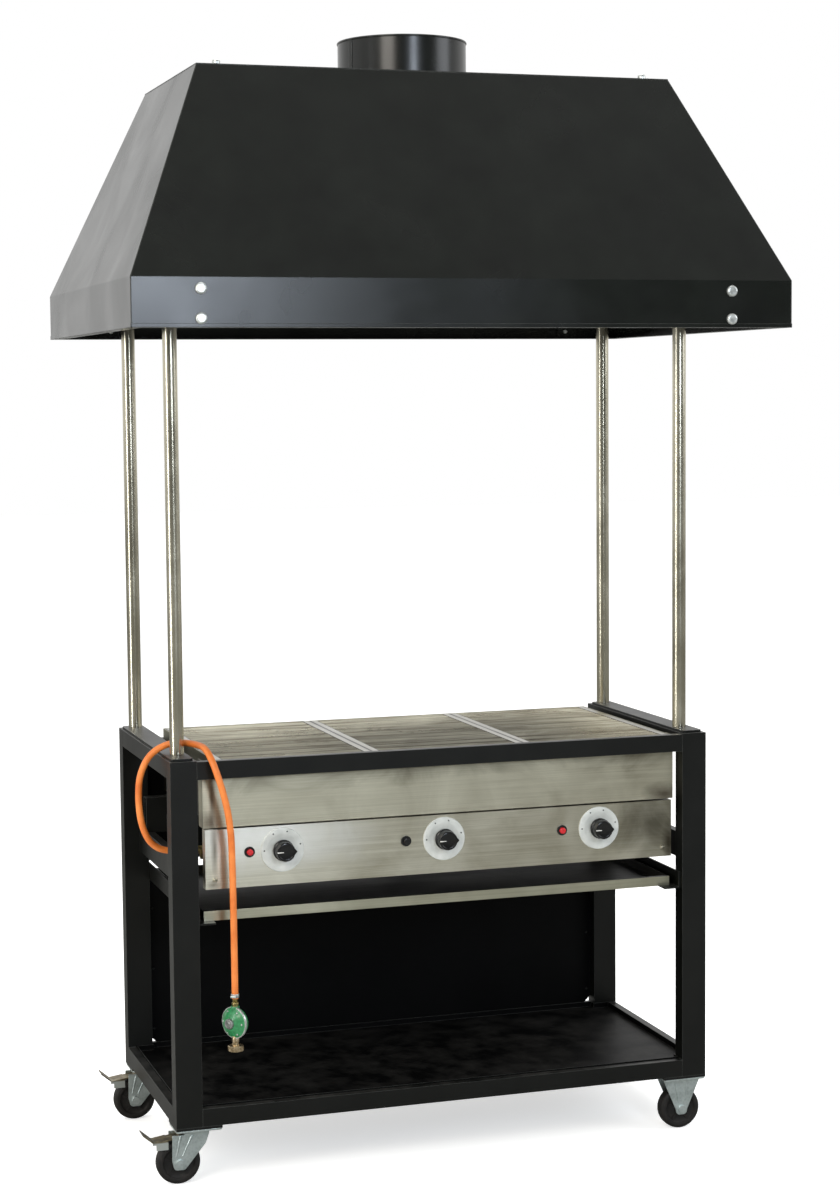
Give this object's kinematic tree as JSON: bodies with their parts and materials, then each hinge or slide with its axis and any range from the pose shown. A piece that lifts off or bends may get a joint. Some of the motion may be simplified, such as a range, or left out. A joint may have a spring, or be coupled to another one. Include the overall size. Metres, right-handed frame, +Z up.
{
  "type": "charbroiler grill",
  "caption": "Wheeled gas charbroiler cart with stainless grates, front controls, drip tray, gas hose with regulator, and an extraction hood on posts.",
  "frame": {"origin": "on the floor, under the centre of the cart and hood", "axes": "+X to the cook's right, -Y towards the cook, +Z up"},
  "size_m": [1.506, 1.04, 2.577],
  "materials": {
    "black_paint": "semi-gloss black paint on steel",
    "stainless": "brushed stainless steel, warm and stained by heat",
    "zinc_plate": "bright zinc plate",
    "brass": "plain brass",
    "black_plastic": "satin black plastic",
    "black_gloss": "gloss black plastic",
    "red_plastic": "gloss red plastic",
    "dial_plastic": "pale grey plastic",
    "tyre_rubber": "black rubber",
    "orange_rubber": "smooth orange rubber",
    "green_paint": "green enamel on die-cast zinc"
  },
  "bodies": {
    "frame": {"leg_front_left": "black_paint", "leg_front_right": "black_paint", "leg_rear_left": "black_paint", "leg_rear_right": "black_paint", "top_rails": "black_paint", "bottom_rails": "black_paint", "unit_rails": "black_paint", "post_seat_plates": "black_paint", "foot_plates": "black_paint", "tray_runners": "black_paint", "shelf_pan": "black_paint", "back_panel": "black_paint", "hood_panel_front": "black_paint", "hood_panel_rear": "black_paint", "hood_panel_right": "black_paint", "hood_panel_left": "black_paint", "hood_roof": "black_paint", "duct_collar": "black_paint", "hood_support_bars": "black_paint", "hood_fixings": "zinc_plate", "post_front_left": "stainless", "post_rear_left": "stainless", "post_front_right": "stainless", "post_rear_right": "stainless", "firebox": "stainless", "upper_fascia": "stainless", "control_panel": "stainless", "dial_plates": "dial_plastic", "gas_manifold": "brass", "inlet_elbow": "brass", "burners": "stainless", "flame_spreaders": "stainless", "igniter_housings": "black_plastic", "castor_brackets": "zinc_plate", "gas_hose": "orange_rubber", "hose_tail": "brass", "regulator_body": "green_paint", "regulator_cap": "zinc_plate", "bottle_nut": "brass"},
    "left_tap_stem": {"tap_spindle_left": "brass"},
    "left_knob": {"knob_left": "black_plastic"},
    "left_button": {"push_button_left": "red_plastic"},
    "left_grate": {"grate_left": "stainless"},
    "middle_tap_stem": {"tap_spindle_middle": "brass"},
    "middle_knob": {"knob_middle": "black_plastic"},
    "middle_button": {"push_button_middle": "black_gloss"},
    "middle_grate": {"grate_middle": "stainless"},
    "right_tap_stem": {"tap_spindle_right": "brass"},
    "right_knob": {"knob_right": "black_plastic"},
    "right_button": {"push_button_right": "red_plastic"},
    "right_grate": {"grate_right": "stainless"},
    "tray": {"drip_tray": "stainless"},
    "front_left_fork": {"castor_fork_front_left": "zinc_plate"},
    "front_left_wheel": {"wheel_front_left": "tyre_rubber"},
    "front_left_brake": {"brake_pedal_front_left": "black_paint"},
    "front_right_wheel": {"wheel_front_right": "tyre_rubber"},
    "rear_left_fork": {"castor_fork_rear_left": "zinc_plate"},
    "rear_left_wheel": {"wheel_rear_left": "tyre_rubber"},
    "rear_left_brake": {"brake_pedal_rear_left": "black_paint"},
    "rear_right_wheel": {"wheel_rear_right": "tyre_rubber"}
  },
  "joints": [
    {"name": "left_tap_push", "type": "slide", "parent": "frame", "child": "left_tap_stem", "axis": [0, 1, 0], "range_m": [0, 0.0035], "stiffness_N_per_m": 600},
    {"name": "left_knob_turn", "type": "hinge", "parent": "left_tap_stem", "child": "left_knob", "pos_m": [-0.386, -0.298, 0.745], "axis": [0, 1, 0], "range_deg": [0, 165]},
    {"name": "left_igniter_push", "type": "slide", "parent": "frame", "child": "left_button", "axis": [0, 1, 0], "range_m": [0, 0.006], "stiffness_N_per_m": 400},
    {"name": "left_grate_lift", "type": "slide", "parent": "frame", "child": "left_grate", "axis": [0, 0, 1], "range_m": [0, 0.15]},
    {"name": "middle_tap_push", "type": "slide", "parent": "frame", "child": "middle_tap_stem", "axis": [0, 1, 0], "range_m": [0, 0.0035], "stiffness_N_per_m": 600},
    {"name": "middle_knob_turn", "type": "hinge", "parent": "middle_tap_stem", "child": "middle_knob", "pos_m": [-0.004, -0.298, 0.745], "axis": [0, 1, 0], "range_deg": [0, 165]},
    {"name": "middle_igniter_push", "type": "slide", "parent": "frame", "child": "middle_button", "axis": [0, 1, 0], "range_m": [0, 0.006], "stiffness_N_per_m": 400},
    {"name": "middle_grate_lift", "type": "slide", "parent": "frame", "child": "middle_grate", "axis": [0, 0, 1], "range_m": [0, 0.15]},
    {"name": "right_tap_push", "type": "slide", "parent": "frame", "child": "right_tap_stem", "axis": [0, 1, 0], "range_m": [0, 0.0035], "stiffness_N_per_m": 600},
    {"name": "right_knob_turn", "type": "hinge", "parent": "right_tap_stem", "child": "right_knob", "pos_m": [0.378, -0.298, 0.745], "axis": [0, 1, 0], "range_deg": [0, 165]},
    {"name": "right_igniter_push", "type": "slide", "parent": "frame", "child": "right_button", "axis": [0, 1, 0], "range_m": [0, 0.006], "stiffness_N_per_m": 400},
    {"name": "right_grate_lift", "type": "slide", "parent": "frame", "child": "right_grate", "axis": [0, 0, 1], "range_m": [0, 0.15]},
    {"name": "tray_slide", "type": "slide", "parent": "frame", "child": "tray", "axis": [0, 1, 0], "range_m": [-0.035, 0.45]},
    {"name": "front_left_swivel", "type": "hinge", "parent": "frame", "child": "front_left_fork", "pos_m": [-0.5905, -0.2545, 0.12], "axis": [0, 0, 1], "continuous": true},
    {"name": "front_left_roll", "type": "hinge", "parent": "front_left_fork", "child": "front_left_wheel", "pos_m": [-0.6325, -0.2545, 0.05], "axis": [0, 1, 0], "continuous": true},
    {"name": "front_left_brake_press", "type": "hinge", "parent": "front_left_fork", "child": "front_left_brake", "pos_m": [-0.6285, -0.2545, 0.107], "axis": [0, -1, 0], "range_deg": [0, 10]},
    {"name": "front_right_roll", "type": "hinge", "parent": "frame", "child": "front_right_wheel", "pos_m": [0.5905, -0.2545, 0.05], "axis": [0, 1, 0], "continuous": true},
    {"name": "rear_left_swivel", "type": "hinge", "parent": "frame", "child": "rear_left_fork", "pos_m": [-0.5905, 0.2545, 0.12], "axis": [0, 0, 1], "continuous": true},
    {"name": "rear_left_roll", "type": "hinge", "parent": "rear_left_fork", "child": "rear_left_wheel", "pos_m": [-0.6325, 0.2545, 0.05], "axis": [0, 1, 0], "continuous": true},
    {"name": "rear_left_brake_press", "type": "hinge", "parent": "rear_left_fork", "child": "rear_left_brake", "pos_m": [-0.6285, 0.2545, 0.107], "axis": [0, -1, 0], "range_deg": [0, 10]},
    {"name": "rear_right_roll", "type": "hinge", "parent": "frame", "child": "rear_right_wheel", "pos_m": [0.5905, 0.2545, 0.05], "axis": [0, 1, 0], "continuous": true}
  ]
}
